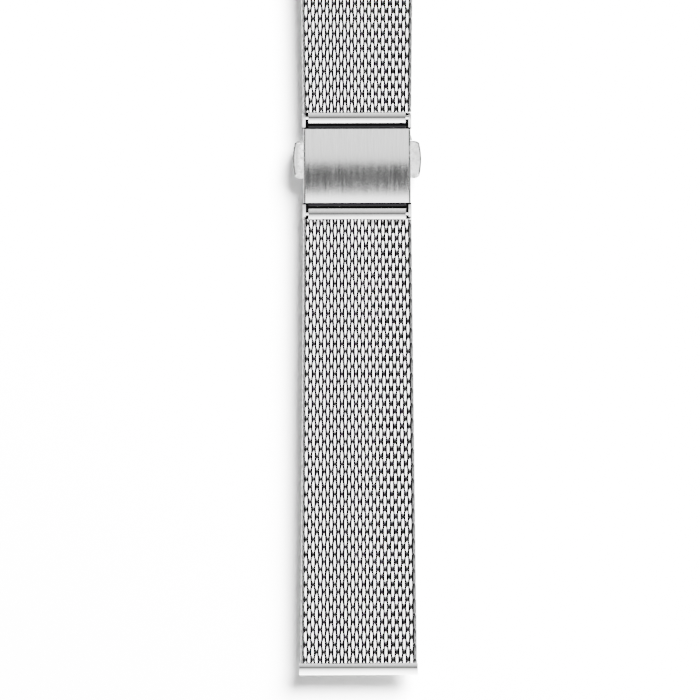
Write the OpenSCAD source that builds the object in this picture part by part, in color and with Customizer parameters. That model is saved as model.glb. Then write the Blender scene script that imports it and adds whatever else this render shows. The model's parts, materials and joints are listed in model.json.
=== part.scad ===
// Milanese mesh band with a push-button butterfly clasp.
// X runs across the band, +Y towards the shorter strap, +Z away from the wrist.
// The origin is at the middle of the bottom of the whole band, laid out flat.

/* [Mesh straps] */
// Width of the mesh beside the clasp
mesh_clasp_w = 18.5; // [17:0.1:20]
// Width of the mesh beside the lug bars
mesh_lug_w = 19.9; // [17:0.1:22]
// Thickness of the mesh
mesh_t = 2.0; // [1.6:0.05:2.2]
// Distance from one row of loops to the next, rounded so that whole rows fill a strap
row_pitch = 1.275; // [1.1:0.005:1.5]
// Length of the lower strap's mesh
lower_mesh_l = 75.2; // [55:0.1:105]
// Length of the upper strap's mesh
upper_mesh_l = 54.8; // [45:0.1:80]

/* [Lug bars] */
// Width of each lug bar, the band's nominal width
lug_bar_w = 20.1; // [18:0.1:22]
// Length of each lug bar along the band
lug_bar_l = 2.0; // [1.9:0.05:2.6]
// Height of each lug bar
lug_bar_h = 2.3; // [2.1:0.05:2.8]
// How far each lug bar's ridge stands from its middle, towards the mesh
lug_ridge_offset = 0.25; // [0:0.05:0.4]
// Bore of each lug bar for the watch's own spring bar
lug_bore_d = 1.5; // [1.2:0.05:1.6]

/* [Clasp bars] */
// Width of the bars that end the mesh at the clasp
clasp_bar_w = 16.5; // [15.8:0.1:17.5]
// Length of each clasp bar along the band
clasp_bar_l = 1.8; // [1.6:0.05:2.2]
// Height of each clasp bar
clasp_bar_h = 2.2; // [2:0.05:2.4]
// Gap between the cover and each clasp bar
clasp_gap = 1.0; // [0.9:0.05:1.6]

/* [Cover plate] */
// Width of the cover plate
cover_w = 18.2; // [17.8:0.1:20]
// Length of the cover plate along the band
cover_l = 12.5; // [12:0.1:15]
// Thickness of the cover plate
cover_t = 0.8; // [0.5:0.05:0.9]
// Radius of the cover plate's arch
cover_arch_r = 24; // [20:0.5:40]
// Height of the cover plate's top above the clasp bars' axis
cover_rise = 1.8; // [1.6:0.05:2.4]
// Bevel along the cover plate's sides
cover_bevel = 0.25; // [0.1:0.05:0.4]

/* [Catch box] */
// Step from the cover plate's edges in to the catch box
box_inset = 0.2; // [0.1:0.05:0.4]
// Wall of the catch box
box_wall = 0.7; // [0.5:0.05:0.9]
// How far the box's side wall bends out past the cover plate beside a button
flare_out = 0.3; // [0.1:0.05:0.5]
// Width of the wall between the two button springs
middle_wall_w = 2.2; // [1.8:0.1:3]

/* [Push buttons] */
// Length of each button along the band
button_l = 6.35; // [5:0.05:7]
// How far each button stands out from the cover plate
button_out = 1.8; // [1.2:0.05:2.4]
// Height of each button
button_h = 2.0; // [1.6:0.05:2.1]
// Distance of the buttons from the cover plate's middle, towards the upper strap
button_offset = 1.07; // [0:0.01:1.3]
// Corner radius of each button
button_corner_r = 1.0; // [0.5:0.05:1.2]
// Travel of each button
button_travel = 0.8; // [0.4:0.05:1]

/* [Folding blades] */
// Distance from the clasp's middle to each blade hinge
hinge_reach = 17; // [15:0.1:20]
// Width of the blades
blade_w = 14; // [11:0.1:15]
// Thickness of the blades
blade_t = 0.8; // [0.6:0.05:0.9]
// Inner radius of the base plate's curve
blade_r = 75; // [60:1:120]
// Outer diameter of the hinge knuckles
knuckle_d = 2.0; // [1.8:0.05:2.2]
// Diameter of the hinge pins
hinge_pin_d = 0.9; // [0.6:0.05:1]
// Width of each arm's own knuckle
arm_knuckle_w = 7.0; // [4:0.1:8]

/* [Ears] */
// Thickness of each ear
ear_t = 0.52; // [0.4:0.02:0.7]
// Gap between a clasp bar's end and the ear beside it
ear_side_gap = 0.46; // [0.3:0.02:0.6]
// Diameter of each ear's round end
ear_d = 1.7; // [1.5:0.05:1.9]

/* [Spring bars] */
// Outer diameter of each spring bar's barrel
barrel_d = 1.1; // [1:0.02:1.2]
// Bore of the barrel
barrel_bore_d = 0.8; // [0.76:0.02:0.84]
// Diameter of the sliding tips
tip_d = 0.7; // [0.6:0.02:0.74]
// Travel of each tip into the barrel
tip_travel = 0.8; // [0.6:0.05:1]

/* [Coil springs] */
// Outer diameter of a button spring
button_spring_d = 1.5; // [1.2:0.05:1.6]
// Wire diameter of a button spring
button_wire_d = 0.2; // [0.15:0.01:0.25]
// Curls of a button spring
button_curls = 5; // [3:1:6]
// Wire diameter of a spring bar's inner spring
inner_wire_d = 0.12; // [0.08:0.01:0.16]
// Curls of a spring bar's inner spring
inner_curls = 14; // [8:1:18]

/* [Hidden] */
$fn = 64;
blade_sides = 360;    // the blades' circle is wide, so it needs more sides

// Pieces into which each strap is divided so that it can bend
upper_parts = 5;
lower_parts = 7;

// Clearances
seam = 0.02;          // between fixed pieces that touch
pin_fit = 0.01;       // round a pin that stays put in its bore
turn_fit = 0.05;      // round a pin that turns or slides in its bore
slide_gap = 0.1;      // beside a sliding or turning piece
leaf_gap = 0.15;      // between folded blades, and round a bending row
bar_lift = 0.33;      // between a folded arm and the clasp bar above it
seat_rise = 0.05;     // from the blades' crown up to the catch box's seat
overrun = 1;          // how far a cut runs past the face that it opens

// Places along the band, from the clasp's middle
bar_y = cover_l / 2 + clasp_gap + clasp_bar_l / 2;
mesh_start = bar_y + clasp_bar_l / 2 + seam;
catch_y = cover_l / 2 + slide_gap * 2;
catch_t = 0.35;
upper_end = mesh_start + upper_mesh_l + seam + lug_bar_l;
lower_end = mesh_start + lower_mesh_l + seam + lug_bar_l;
clasp_y = (lower_end - upper_end) / 2;

// Heights, from the surface that the laid-out band stands on
knuckle_r = knuckle_d / 2;
hinge_z = knuckle_r;
arc_z = -sqrt(blade_r * blade_r - hinge_reach * hinge_reach);
base_outer_r = blade_r + blade_t;
arm_inner_r = base_outer_r + leaf_gap;
arm_outer_r = arm_inner_r + blade_t;
bar_z = arc_z + sqrt(arm_outer_r * arm_outer_r - bar_y * bar_y) + bar_lift + clasp_bar_h / 2;
cover_top_z = bar_z + cover_rise;
arch_z = cover_top_z - cover_arch_r;
cover_inner_r = cover_arch_r - cover_t;
base_top_z = arc_z + base_outer_r + seat_rise;
all_top_z = cover_top_z + overrun;

// Catch box
box_w = cover_w - 2 * box_inset;
box_l = cover_l - 2 * box_inset - 2 * slide_gap;
room_w = box_w - 2 * box_wall;
room_l = box_l - 2 * box_wall;

// Push buttons
button_low_z = base_top_z + 2 * slide_gap;
button_mid_z = button_low_z + button_h / 2;
flange_t = 0.6;
flange_lap = 0.4;
flange_x = room_w / 2 - slide_gap / 2;
yoke_h = button_h * 0.6;
yoke_t = 0.8;
yoke_x = flange_x - flange_t - 2;
yoke_web_w = 2.4;
claw_reach = cover_l / 2 - slide_gap;
spigot_d = button_spring_d - 2 * button_wire_d - 4 * turn_fit;
spigot_l = 0.7;
spring_low_x = middle_wall_w / 2 + seam;
spring_high_x = yoke_x - yoke_t - seam;

// The box's flares, from the clasp bars' axis up
flare_rise = 0.25;

// Catch plates
catch_w = clasp_bar_w;
catch_top_z = bar_z + clasp_bar_h / 4;

// Ears
ear_x = clasp_bar_w / 2 + ear_side_gap;
ear_r = ear_d / 2;
ear_neck_l = ear_r * 0.6;
arm_end_w = 2 * (ear_x + ear_t);
ear_back = bar_y - catch_y - slide_gap;

// Hinges
leaf_stop = hinge_reach - knuckle_r - 2 * slide_gap;

// Spring bars
barrel_l = clasp_bar_w - 2 * (tip_travel + 3 * slide_gap);
tip_grip = 2.0;
tip_out_x = ear_x + ear_t - slide_gap / 2;
tip_in_x = barrel_l / 2 - tip_grip;
inner_spring_l = 2 * tip_in_x - 2 * seam;
inner_spring_d = barrel_bore_d - 2 * turn_fit;

// Rivets
rivet_d = 0.9;
rivet_head_d = 1.5;
rivet_head_t = 0.25;
rivet_pitch = box_l * 0.6;
rivet_depth = 1.4;

// Springs as one unbroken tube
curl_rings = 8;
wire_sides = 6;

// Height of a ridged bar's shoulders, as a share of half its height
shoulder_share = 0.5;

steel = "silver";
steel_dark = "dimgray";
steel_bright = "gainsboro";
steel_mesh = "lightgray";

// A rod along X between two places
module x_rod(r, x0, x1, y, z)
    translate([x0, y, z]) rotate([0, 90, 0]) cylinder(r = r, h = x1 - x0);

// A rod along X, centred across the band
module mid_rod(r, w, y, z) x_rod(r, -w / 2, w / 2, y, z);

// A rod on the blades' common centre
module blade_rod(r, w) mid_rod(r, w, 0, arc_z, $fn = blade_sides);

// A rectangular block between two corners
module block(low, high) translate(low) cube(high - low);

// A bar along X with a ridge above and below, from half its length and half its height
module ridged_bar(half_l, half_h, w, ridge_y = 0)
    rotate([90, 0, 90]) linear_extrude(height = w, center = true)
        polygon([[half_l, -half_h * shoulder_share], [half_l, half_h * shoulder_share],
            [ridge_y, half_h], [-half_l, half_h * shoulder_share],
            [-half_l, -half_h * shoulder_share], [ridge_y, -half_h]]);

// A curved plate on the blades' common centre
module arc_plate(inner_r, y0, y1, w)
    intersection() {
        difference() {
            blade_rod(inner_r + blade_t, w);
            blade_rod(inner_r, w + overrun);
        }
        block([-w, y0, -overrun], [w, y1, all_top_z]);
    }

// All that lies above the base plate's seat and below the cover plate, out to two half sizes
module under_cover(half_w, half_l, step)
    intersection() {
        block([-half_w, -half_l, base_top_z + step], [half_w, half_l, all_top_z]);
        mid_rod(cover_inner_r - step, cover_w, 0, arch_z);
    }

// Blades

module knuckle(x0, x1)
    x_rod(knuckle_r, x0, x1, hinge_reach, hinge_z);

module pin_bore(fit, w)
    mid_rod(hinge_pin_d / 2 + fit, w, hinge_reach, hinge_z);

// The base plate's blades and the seat under the catch box, without knuckles
module base_blank()
    difference() {
        union() {
            intersection() {
                blade_rod(base_outer_r, blade_w);
                block([-blade_w, -hinge_reach, -overrun], [blade_w, hinge_reach, all_top_z]);
            }
            block([-box_w / 2, -box_l / 2, 0], [box_w / 2, box_l / 2, base_top_z]);
        }
        blade_rod(blade_r, box_w + blade_w);
    }

module base_plate() color(steel) {
    half_w = blade_w / 2;
    gap_x = arm_knuckle_w / 2 + slide_gap;
    difference() {
        union() {
            base_blank();
            for (end = [0, 1], side = [0, 1])
                mirror([0, end, 0]) mirror([side, 0, 0]) knuckle(gap_x, half_w);
        }
        for (end = [0, 1]) mirror([0, end, 0]) {
            block([-gap_x, leaf_stop, -overrun], [gap_x, hinge_reach + knuckle_d, all_top_z]);
            pin_bore(pin_fit, blade_w + overrun);
            translate([0, rivet_pitch / 2, 0])
                cylinder(d = rivet_d + 2 * pin_fit, h = all_top_z);
        }
    }
}

module base_rivets() color(steel_bright)
    for (side = [-1, 1]) {
        y = side * rivet_pitch / 2;
        low_z = arc_z + sqrt(blade_r * blade_r - y * y) - rivet_head_t;
        translate([0, y, low_z]) {
            translate([0, 0, rivet_head_t / 2])
                cylinder(d = rivet_d, h = blade_t + rivet_depth);
            cylinder(d1 = rivet_d, d2 = rivet_head_d, h = rivet_head_t - seam);
        }
    }

module hinge_pin() color(steel_bright)
    mid_rod(hinge_pin_d / 2, blade_w, hinge_reach, hinge_z);

module ear(side) {
    x0 = side > 0 ? ear_x : -ear_x - ear_t;
    x1 = x0 + ear_t;
    foot_z = arc_z + sqrt(arm_inner_r * arm_inner_r - bar_y * bar_y) + blade_t / 2;
    x_rod(ear_r, x0, x1, bar_y, bar_z);
    block([x0, bar_y - ear_back, bar_z - ear_r], [x1, bar_y, bar_z + ear_r]);
    block([x0, bar_y - ear_back, foot_z], [x1, bar_y + ear_neck_l, bar_z]);
}

module arm() color(steel)
    difference() {
        union() {
            arc_plate(arm_inner_r, catch_y, leaf_stop, blade_w);
            arc_plate(arm_inner_r, catch_y, bar_y + ear_neck_l, arm_end_w);
            arc_plate(arm_inner_r, leaf_stop - blade_t, hinge_reach, arm_knuckle_w);
            knuckle(-arm_knuckle_w / 2, arm_knuckle_w / 2);
            for (side = [-1, 1]) ear(side);
        }
        pin_bore(turn_fit, arm_knuckle_w + overrun);
        mid_rod(tip_d / 2 + turn_fit, arm_end_w + overrun, bar_y, bar_z);
    }

// The upright plate on an arm's free end that the buttons' claws catch
module catch_plate() color(steel_dark)
    difference() {
        block([-catch_w / 2, catch_y, 0], [catch_w / 2, catch_y + catch_t, catch_top_z]);
        blade_rod(arm_outer_r + seam, catch_w + overrun);
        for (side = [-1, 1])
            translate([side * (yoke_x - yoke_t / 2 - button_travel / 2), 0, 0])
                block([-claw_slot_w() / 2, 0, button_mid_z - claw_slot_h() / 2],
                    [claw_slot_w() / 2, catch_y + catch_t + overrun,
                        button_mid_z + claw_slot_h() / 2]);
    }

// Room that a claw sweeps as its button travels
function claw_slot_w() = yoke_t + button_travel + 2 * slide_gap;
function claw_slot_h() = yoke_h + 2 * slide_gap;

// Catch box and cover

// The box's side wall bends out beside each button, towards the upper strap
module box_flare() {
    start_y = button_offset + button_l / 2 + slide_gap;
    translate([0, 0, base_top_z + seam])
        linear_extrude(height = bar_z + flare_rise - base_top_z)
            polygon([[box_w / 2 - box_wall / 2, start_y], [cover_w / 2 + flare_out, start_y],
                [box_w / 2, box_l / 2], [box_w / 2 - box_wall / 2, box_l / 2]]);
}

module catch_box() color(steel_dark)
    difference() {
        union() {
            difference() {
                under_cover(box_w / 2, box_l / 2, seam);
                under_cover(room_w / 2, room_l / 2, -overrun);
            }
            under_cover(middle_wall_w / 2, room_l / 2 + box_wall / 2, seam);
            for (side = [0, 1]) mirror([side, 0, 0]) box_flare();
            for (side = [-1, 1])
                x_rod(spigot_d / 2, min(0, side * (middle_wall_w / 2 + spigot_l)),
                    max(0, side * (middle_wall_w / 2 + spigot_l)), button_offset, button_mid_z);
        }
        for (side = [-1, 1]) {
            block([min(side * room_w / 2 - side * overrun, side * box_w),
                    button_offset - button_l / 2 - slide_gap, button_low_z - slide_gap],
                [max(side * room_w / 2 - side * overrun, side * box_w),
                    button_offset + button_l / 2 + slide_gap,
                    button_low_z + button_h + slide_gap]);
            translate([side * (yoke_x - yoke_t / 2 - button_travel / 2), 0, 0])
                block([-claw_slot_w() / 2, -box_l, button_mid_z - claw_slot_h() / 2],
                    [claw_slot_w() / 2, box_l, button_mid_z + claw_slot_h() / 2]);
            translate([0, side * rivet_pitch / 2, 0])
                cylinder(d = rivet_d + 2 * pin_fit, h = base_top_z + rivet_depth);
        }
    }

module cover_plate() color(steel_bright)
    intersection() {
        translate([0, 0, arch_z]) rotate([0, 90, 0]) rotate_extrude()
            polygon([[cover_inner_r, -cover_w / 2], [cover_arch_r - cover_bevel, -cover_w / 2],
                [cover_arch_r, -cover_w / 2 + cover_bevel],
                [cover_arch_r, cover_w / 2 - cover_bevel],
                [cover_arch_r - cover_bevel, cover_w / 2], [cover_inner_r, cover_w / 2]]);
        block([-cover_w, -cover_l / 2, 0], [cover_w, cover_l / 2, all_top_z]);
    }

// Push buttons

// Outline of a button's head seen from above, with round outer corners
module button_outline() {
    out_x = cover_w / 2 + button_out;
    in_x = flange_x - flange_t / 2;
    half_l = button_l / 2;
    translate([0, button_offset]) {
        translate([in_x, -half_l + button_corner_r])
            square([out_x - in_x, button_l - 2 * button_corner_r]);
        translate([in_x, -half_l]) square([out_x - in_x - button_corner_r, button_l]);
        for (side = [-1, 1])
            translate([out_x - button_corner_r, side * (half_l - button_corner_r)])
                circle(r = button_corner_r);
    }
}

module button() color(steel) {
    half_h = yoke_h / 2;
    translate([0, 0, button_low_z]) linear_extrude(height = button_h) button_outline();
    block([flange_x - flange_t, button_offset - button_l / 2 - flange_lap, button_low_z],
        [flange_x, button_offset + button_l / 2 + flange_lap, button_low_z + button_h]);
    block([yoke_x - yoke_t / 2, button_offset - yoke_web_w / 2, button_mid_z - half_h],
        [flange_x - flange_t / 2, button_offset + yoke_web_w / 2, button_mid_z + half_h]);
    block([yoke_x - yoke_t, -claw_reach, button_mid_z - half_h],
        [yoke_x, claw_reach, button_mid_z + half_h]);
    x_rod(spigot_d / 2, yoke_x - yoke_t - spigot_l, yoke_x, button_offset, button_mid_z);
}

// Springs

// Points round the wire at one ring of a spring
function wire_ring(coil_r, wire_r, length, curls, i) = let (
    turn = 360 * i / curl_rings,
    along = length * i / (curls * curl_rings))
    [for (k = [0 : wire_sides - 1]) let (
        a = 360 * k / wire_sides,
        reach = coil_r + wire_r * cos(a))
        [along + wire_r * sin(a), reach * cos(turn), reach * sin(turn)]];

// A coil spring along X from the origin, as one unbroken tube
module coil_spring(outer_d, wire_d, length, curls) {
    wire_r = wire_d / 2;
    coil_r = outer_d / 2 - wire_r;
    rings = curls * curl_rings;
    run = length - wire_d;
    points = [for (i = [0 : rings]) each wire_ring(coil_r, wire_r, run, curls, i)];
    sides = [for (i = [0 : rings - 1], k = [0 : wire_sides - 1]) let (
        a = i * wire_sides + k,
        b = i * wire_sides + (k + 1) % wire_sides)
        each [[a, a + wire_sides, b + wire_sides], [a, b + wire_sides, b]]];
    caps = [[for (k = [0 : wire_sides - 1]) k],
        [for (k = [wire_sides - 1 : -1 : 0]) rings * wire_sides + k]];
    centres = [for (i = [0 : rings]) let (turn = 360 * i / curl_rings)
        [run * i / rings, coil_r * cos(turn), coil_r * sin(turn)]];
    gap = min([for (i = [0 : rings], j = [i + curl_rings / 2 : rings])
        if (j <= rings) norm(centres[i] - centres[j])]) - wire_d;
    echo(least_gap_between_curls = gap);
    translate([wire_r, 0, 0]) polyhedron(points = points, faces = concat(sides, caps));
}

module button_spring() color(steel_bright)
    translate([spring_low_x, button_offset, button_mid_z])
        coil_spring(button_spring_d, button_wire_d, spring_high_x - spring_low_x, button_curls);

module inner_spring() color(steel_bright)
    translate([-inner_spring_l / 2, bar_y, bar_z])
        coil_spring(inner_spring_d, inner_wire_d, inner_spring_l, inner_curls);

// Spring bars

module barrel() color(steel_bright)
    difference() {
        mid_rod(barrel_d / 2, barrel_l, bar_y, bar_z);
        mid_rod(barrel_bore_d / 2, barrel_l + overrun, bar_y, bar_z);
    }

module tip() color(steel_bright)
    x_rod(tip_d / 2, tip_in_x, tip_out_x, bar_y, bar_z);

// Straps, each drawn towards +Y and turned over for the lower one

module clasp_bar() color(steel_bright)
    difference() {
        translate([0, bar_y, bar_z]) ridged_bar(clasp_bar_l / 2, clasp_bar_h / 2, clasp_bar_w);
        mid_rod(barrel_d / 2 + turn_fit, clasp_bar_w + overrun, bar_y, bar_z);
    }

// Place of one row of loops in a mesh of a given length, and the mesh's width there
function row_count(mesh_l) = round(mesh_l / row_pitch);
function row_y(i, mesh_l) = mesh_start + (i + 1 / 2) * mesh_l / row_count(mesh_l);
function row_w(i, mesh_l) =
    mesh_clasp_w + (mesh_lug_w - mesh_clasp_w) * (i + 1 / 2) / row_count(mesh_l);
function first_row(part, parts, mesh_l) = round((part - 1) * row_count(mesh_l) / parts);

module mesh_part(part, parts, mesh_l) color(steel_mesh) {
    first = first_row(part, parts, mesh_l);
    last = first_row(part + 1, parts, mesh_l) - 1;
    mesh_end = mesh_start + mesh_l;
    cut_w = mesh_clasp_w + mesh_lug_w;
    difference() {
        intersection() {
            for (i = [first : last])
                mid_rod(mesh_t / 2, row_w(i, mesh_l), row_y(i, mesh_l), bar_z);
            block([-cut_w, mesh_start, 0], [cut_w, mesh_end, all_top_z]);
        }
        if (part > 1)
            mid_rod(mesh_t / 2 + leaf_gap, cut_w, row_y(first - 1, mesh_l), bar_z);
        else
            for (side = [-1, 1])
                x_rod(ear_r + leaf_gap, min(side * (ear_x - leaf_gap), side * cut_w),
                    max(side * (ear_x - leaf_gap), side * cut_w), bar_y, bar_z);
    }
}

module lug_bar(mesh_l) color(steel_bright) {
    y = mesh_start + mesh_l + seam + lug_bar_l / 2;
    difference() {
        translate([0, y, bar_z])
            ridged_bar(lug_bar_l / 2, lug_bar_h / 2, lug_bar_w, -lug_ridge_offset);
        mid_rod(lug_bore_d / 2, lug_bar_w + overrun, y, bar_z);
    }
}

// Each piece at its place in the whole band
module upper() translate([0, clasp_y, 0]) children();
module lower() translate([0, clasp_y, 0]) mirror([0, 1, 0]) children();
module left() translate([0, clasp_y, 0]) mirror([1, 0, 0]) children();
module lower_left() translate([0, clasp_y, 0]) mirror([0, 1, 0]) mirror([1, 0, 0]) children();

upper() base_plate();
upper() base_rivets();
upper() catch_box();
upper() cover_plate();
upper() hinge_pin();  // upper_hinge_pin
lower() hinge_pin();  // lower_hinge_pin
upper() arm();  // upper_arm
lower() arm();  // lower_arm
upper() catch_plate();  // upper_catch_plate
lower() catch_plate();  // lower_catch_plate
left() button();  // left_button
upper() button();  // right_button
left() button_spring();  // left_button_spring
upper() button_spring();  // right_button_spring
upper() barrel();  // upper_bar_barrel
left() tip();  // upper_bar_tip_left
upper() tip();  // upper_bar_tip_right
upper() inner_spring();  // upper_bar_spring
lower() barrel();  // lower_bar_barrel
lower_left() tip();  // lower_bar_tip_left
lower() tip();  // lower_bar_tip_right
lower() inner_spring();  // lower_bar_spring
upper() clasp_bar();  // upper_clasp_bar
lower() clasp_bar();  // lower_clasp_bar
upper() mesh_part(1, upper_parts, upper_mesh_l);  // upper_mesh_1
upper() mesh_part(2, upper_parts, upper_mesh_l);  // upper_mesh_2
upper() mesh_part(3, upper_parts, upper_mesh_l);  // upper_mesh_3
upper() mesh_part(4, upper_parts, upper_mesh_l);  // upper_mesh_4
upper() mesh_part(5, upper_parts, upper_mesh_l);  // upper_mesh_5
lower() mesh_part(1, lower_parts, lower_mesh_l);  // lower_mesh_1
lower() mesh_part(2, lower_parts, lower_mesh_l);  // lower_mesh_2
lower() mesh_part(3, lower_parts, lower_mesh_l);  // lower_mesh_3
lower() mesh_part(4, lower_parts, lower_mesh_l);  // lower_mesh_4
lower() mesh_part(5, lower_parts, lower_mesh_l);  // lower_mesh_5
lower() mesh_part(6, lower_parts, lower_mesh_l);  // lower_mesh_6
lower() mesh_part(7, lower_parts, lower_mesh_l);  // lower_mesh_7
upper() lug_bar(upper_mesh_l);  // upper_lug_bar
lower() lug_bar(lower_mesh_l);  // lower_lug_bar
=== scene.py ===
"""Dresses a milanese mesh band and its push-button butterfly clasp"""

import json
import math
import random

import bpy
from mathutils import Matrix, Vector

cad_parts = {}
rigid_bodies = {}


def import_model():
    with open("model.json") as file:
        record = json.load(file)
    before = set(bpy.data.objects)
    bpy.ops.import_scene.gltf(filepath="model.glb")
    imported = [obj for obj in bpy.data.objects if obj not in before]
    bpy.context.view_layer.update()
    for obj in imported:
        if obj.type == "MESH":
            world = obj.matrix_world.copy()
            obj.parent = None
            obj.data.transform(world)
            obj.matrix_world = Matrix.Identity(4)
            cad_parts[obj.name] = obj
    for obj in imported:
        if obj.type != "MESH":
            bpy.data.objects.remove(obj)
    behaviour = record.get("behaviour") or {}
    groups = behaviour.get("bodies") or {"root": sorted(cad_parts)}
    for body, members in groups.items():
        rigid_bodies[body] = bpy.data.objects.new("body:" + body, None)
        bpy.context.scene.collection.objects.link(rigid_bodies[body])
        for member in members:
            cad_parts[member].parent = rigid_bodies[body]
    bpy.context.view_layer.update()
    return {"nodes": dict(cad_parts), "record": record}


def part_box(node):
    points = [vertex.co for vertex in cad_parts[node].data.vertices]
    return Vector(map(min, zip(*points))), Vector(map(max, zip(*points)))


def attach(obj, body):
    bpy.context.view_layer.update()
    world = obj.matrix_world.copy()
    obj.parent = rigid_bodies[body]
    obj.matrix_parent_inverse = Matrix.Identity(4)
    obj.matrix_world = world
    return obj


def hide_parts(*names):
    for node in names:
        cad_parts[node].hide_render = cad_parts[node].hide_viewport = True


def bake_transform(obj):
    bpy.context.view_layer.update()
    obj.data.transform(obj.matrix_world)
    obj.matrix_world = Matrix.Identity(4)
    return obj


bl_info = {
    "name": "Mesh band",
    "version": (1, 0, 0),
    "blender": (4, 5, 0),
    "location": "View3D > Sidebar > Mesh Band",
    "description": "Builds a woven steel watch band and its clasp",
    "category": "Add Mesh",
}

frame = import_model()

MM = 0.001
CLOSE = 0.01 * MM  # what lies nearer than this counts as level
TOUCHING = 0.002 * MM  # points nearer than this are one point

# The shared effects and the finishes, by name, once they are made
EFFECTS = {}
FINISHES = {}


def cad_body(node):
    """The body that a node rides on"""
    bodies = frame["record"]["behaviour"]["bodies"]
    return next(name for name, held in bodies.items() if node in held)


# Sizes and colours that a user would change


def a_length(name, description, millimetres):
    """A size that a user can change"""
    return bpy.props.FloatProperty(
        name=name, description=description, default=millimetres * MM, unit="LENGTH"
    )


def a_colour(name, description, default):
    """A colour that a user can change"""
    return bpy.props.FloatVectorProperty(
        name=name, description=description, default=default, subtype="COLOR"
    )


class WeaveSettings(bpy.types.PropertyGroup):
    """The wire coils of the two straps"""

    row_pitch: a_length("Row pitch", "Distance from one coil to the next", 1.275)
    turns: bpy.props.IntProperty(
        name="Turns", description="Turns of wire across the band", default=16, min=4
    )
    wire_d: a_length("Wire", "Diameter of the wire", 0.66)
    reach: a_length(
        "Reach", "How far a coil's wire reaches along the band from the coil's middle", 1.17
    )
    press: a_length("Press", "How deep the wire's crowns are pressed flat", 0.07)


class ClaspSettings(bpy.types.PropertyGroup):
    """Sizes and edges of the clasp's pieces"""

    soft_edge: a_length("Soft edge", "Radius of the worn edges of stamped pieces", 0.07)
    cover_bevel: a_length("Cover bevel", "Bevel round the cover plate", 0.25)
    cover_arch_r: a_length("Cover arch", "Radius of the cover plate's arch", 24)
    cover_t: a_length("Cover thickness", "Thickness of the cover plate", 0.8)
    button_l: a_length("Button length", "Length of a push-button along the band", 6.35)
    button_offset: a_length(
        "Button offset", "How far the push-buttons lie from the cover's middle", 1.07
    )
    button_bulge: a_length(
        "Button bulge", "How far a push-button's outer side falls back towards its ends", 0.45
    )
    button_round: a_length("Button corner", "Radius of the push-buttons' outer corners", 0.8)
    button_ring: a_length(
        "Button ring", "Width of the sloping ring round a push-button's top", 0.28
    )
    button_crown: a_length("Button crown", "Height of a push-button's top over its sides", 0.16)
    button_step: a_length(
        "Button step", "Length of the sloping step at a push-button's lower end", 0.62
    )


class FinishSettings(bpy.types.PropertyGroup):
    """The colours of the steel, and of the shade painted on it"""

    bright: a_colour("Bright steel", "Colour of polished steel", (0.93, 0.93, 0.92))
    button: a_colour("Button steel", "Colour of the push-buttons", (0.26, 0.26, 0.258))
    satin: a_colour("Satin steel", "Colour of brushed steel", (0.42, 0.42, 0.418))
    # Painted shade: the steel inside the clasp is given a darker colour than the steel outside,
    # standing in for the shade in there
    dull: a_colour("Dull steel", "Colour of steel inside the clasp", (0.1, 0.1, 0.102))
    # Painted shade: a near-black colour laid deep between the wires and on the catch plates and
    # box, standing in for the shade there
    deep_shade: a_colour("Soil", "Colour of the dark film deep between the wires", (0.012, 0.012, 0.013))
    # Painted shade: the near-black colour laid on the arms deep in the gaps beside the cover,
    # where shade falls
    shade: a_colour(
        "Gap shade", "Colour of the grime down in the gaps beside the cover", (0.002, 0.002, 0.002)
    )
    # Painted shade: the dark colour on the wires' rounded sides, standing in for the dark
    # surroundings they reflect
    flank_shade: a_colour("Wire flank", "Colour of the wires' rounded sides", (0.075, 0.075, 0.076))
    # Painted shade: the dark colour in the bars' ridge groove and round the buttons' tops,
    # standing in for the shade in the groove
    groove: a_colour("Groove", "Colour of the grime in the fine grooves", (0.04, 0.04, 0.041))


class StageSettings(bpy.types.PropertyGroup):
    """The floor, the lights and the camera"""

    frame_w: a_length("Frame width", "Width of what the camera sees at the band", 118.6)
    distance: a_length("Camera distance", "Height of the camera over the floor", 3000)
    camera_turn: bpy.props.FloatProperty(
        name="Camera turn",
        description="How far the camera is turned over the band",
        default=math.radians(-0.165),
        subtype="ANGLE",
    )
    floor_tone: bpy.props.FloatProperty(
        name="Floor tone",
        description="Brightness of the floor",
        default=0.9,
        min=0.0,
        max=1.0,
        subtype="FACTOR",
    )


GROUPS = {
    "band_weave": WeaveSettings,
    "band_clasp": ClaspSettings,
    "band_finish": FinishSettings,
    "band_stage": StageSettings,
}


# Selecting and shaping


def deselect():
    """Leaves edit mode with nothing selected"""
    if bpy.context.object and bpy.context.object.mode != "OBJECT":
        bpy.ops.object.mode_set(mode="OBJECT")
    bpy.ops.object.select_all(action="DESELECT")


def pick(*objects):
    """Selects these objects alone, the last of them active"""
    deselect()
    for one in objects:
        one.select_set(True)
    bpy.context.view_layer.objects.active = objects[-1]


def named(name):
    """Names the active object and its mesh"""
    made = bpy.context.object
    made.name = name
    made.data.name = name
    return made


def pick_elements(piece, kind, test):
    """Selects the vertices, edges or faces of a piece that pass a test, and enters edit mode"""
    pick(piece)
    bpy.ops.object.mode_set(mode="EDIT")
    bpy.ops.mesh.select_mode(type=kind)
    bpy.ops.mesh.select_all(action="DESELECT")
    bpy.ops.object.mode_set(mode="OBJECT")
    mesh = piece.data
    parts = {"VERT": mesh.vertices, "EDGE": mesh.edges, "FACE": mesh.polygons}[kind]
    for part in parts:
        part.select = test(part)
    bpy.ops.object.mode_set(mode="EDIT")


def settle(piece):
    """Puts a piece's place into its mesh"""
    pick(piece)
    bpy.ops.object.transform_apply(location=True, rotation=True, scale=True)


def apply_modifiers(piece):
    """Applies every modifier of a piece"""
    pick(piece)
    for modifier in list(piece.modifiers):
        bpy.ops.object.modifier_apply(modifier=modifier.name)


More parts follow.
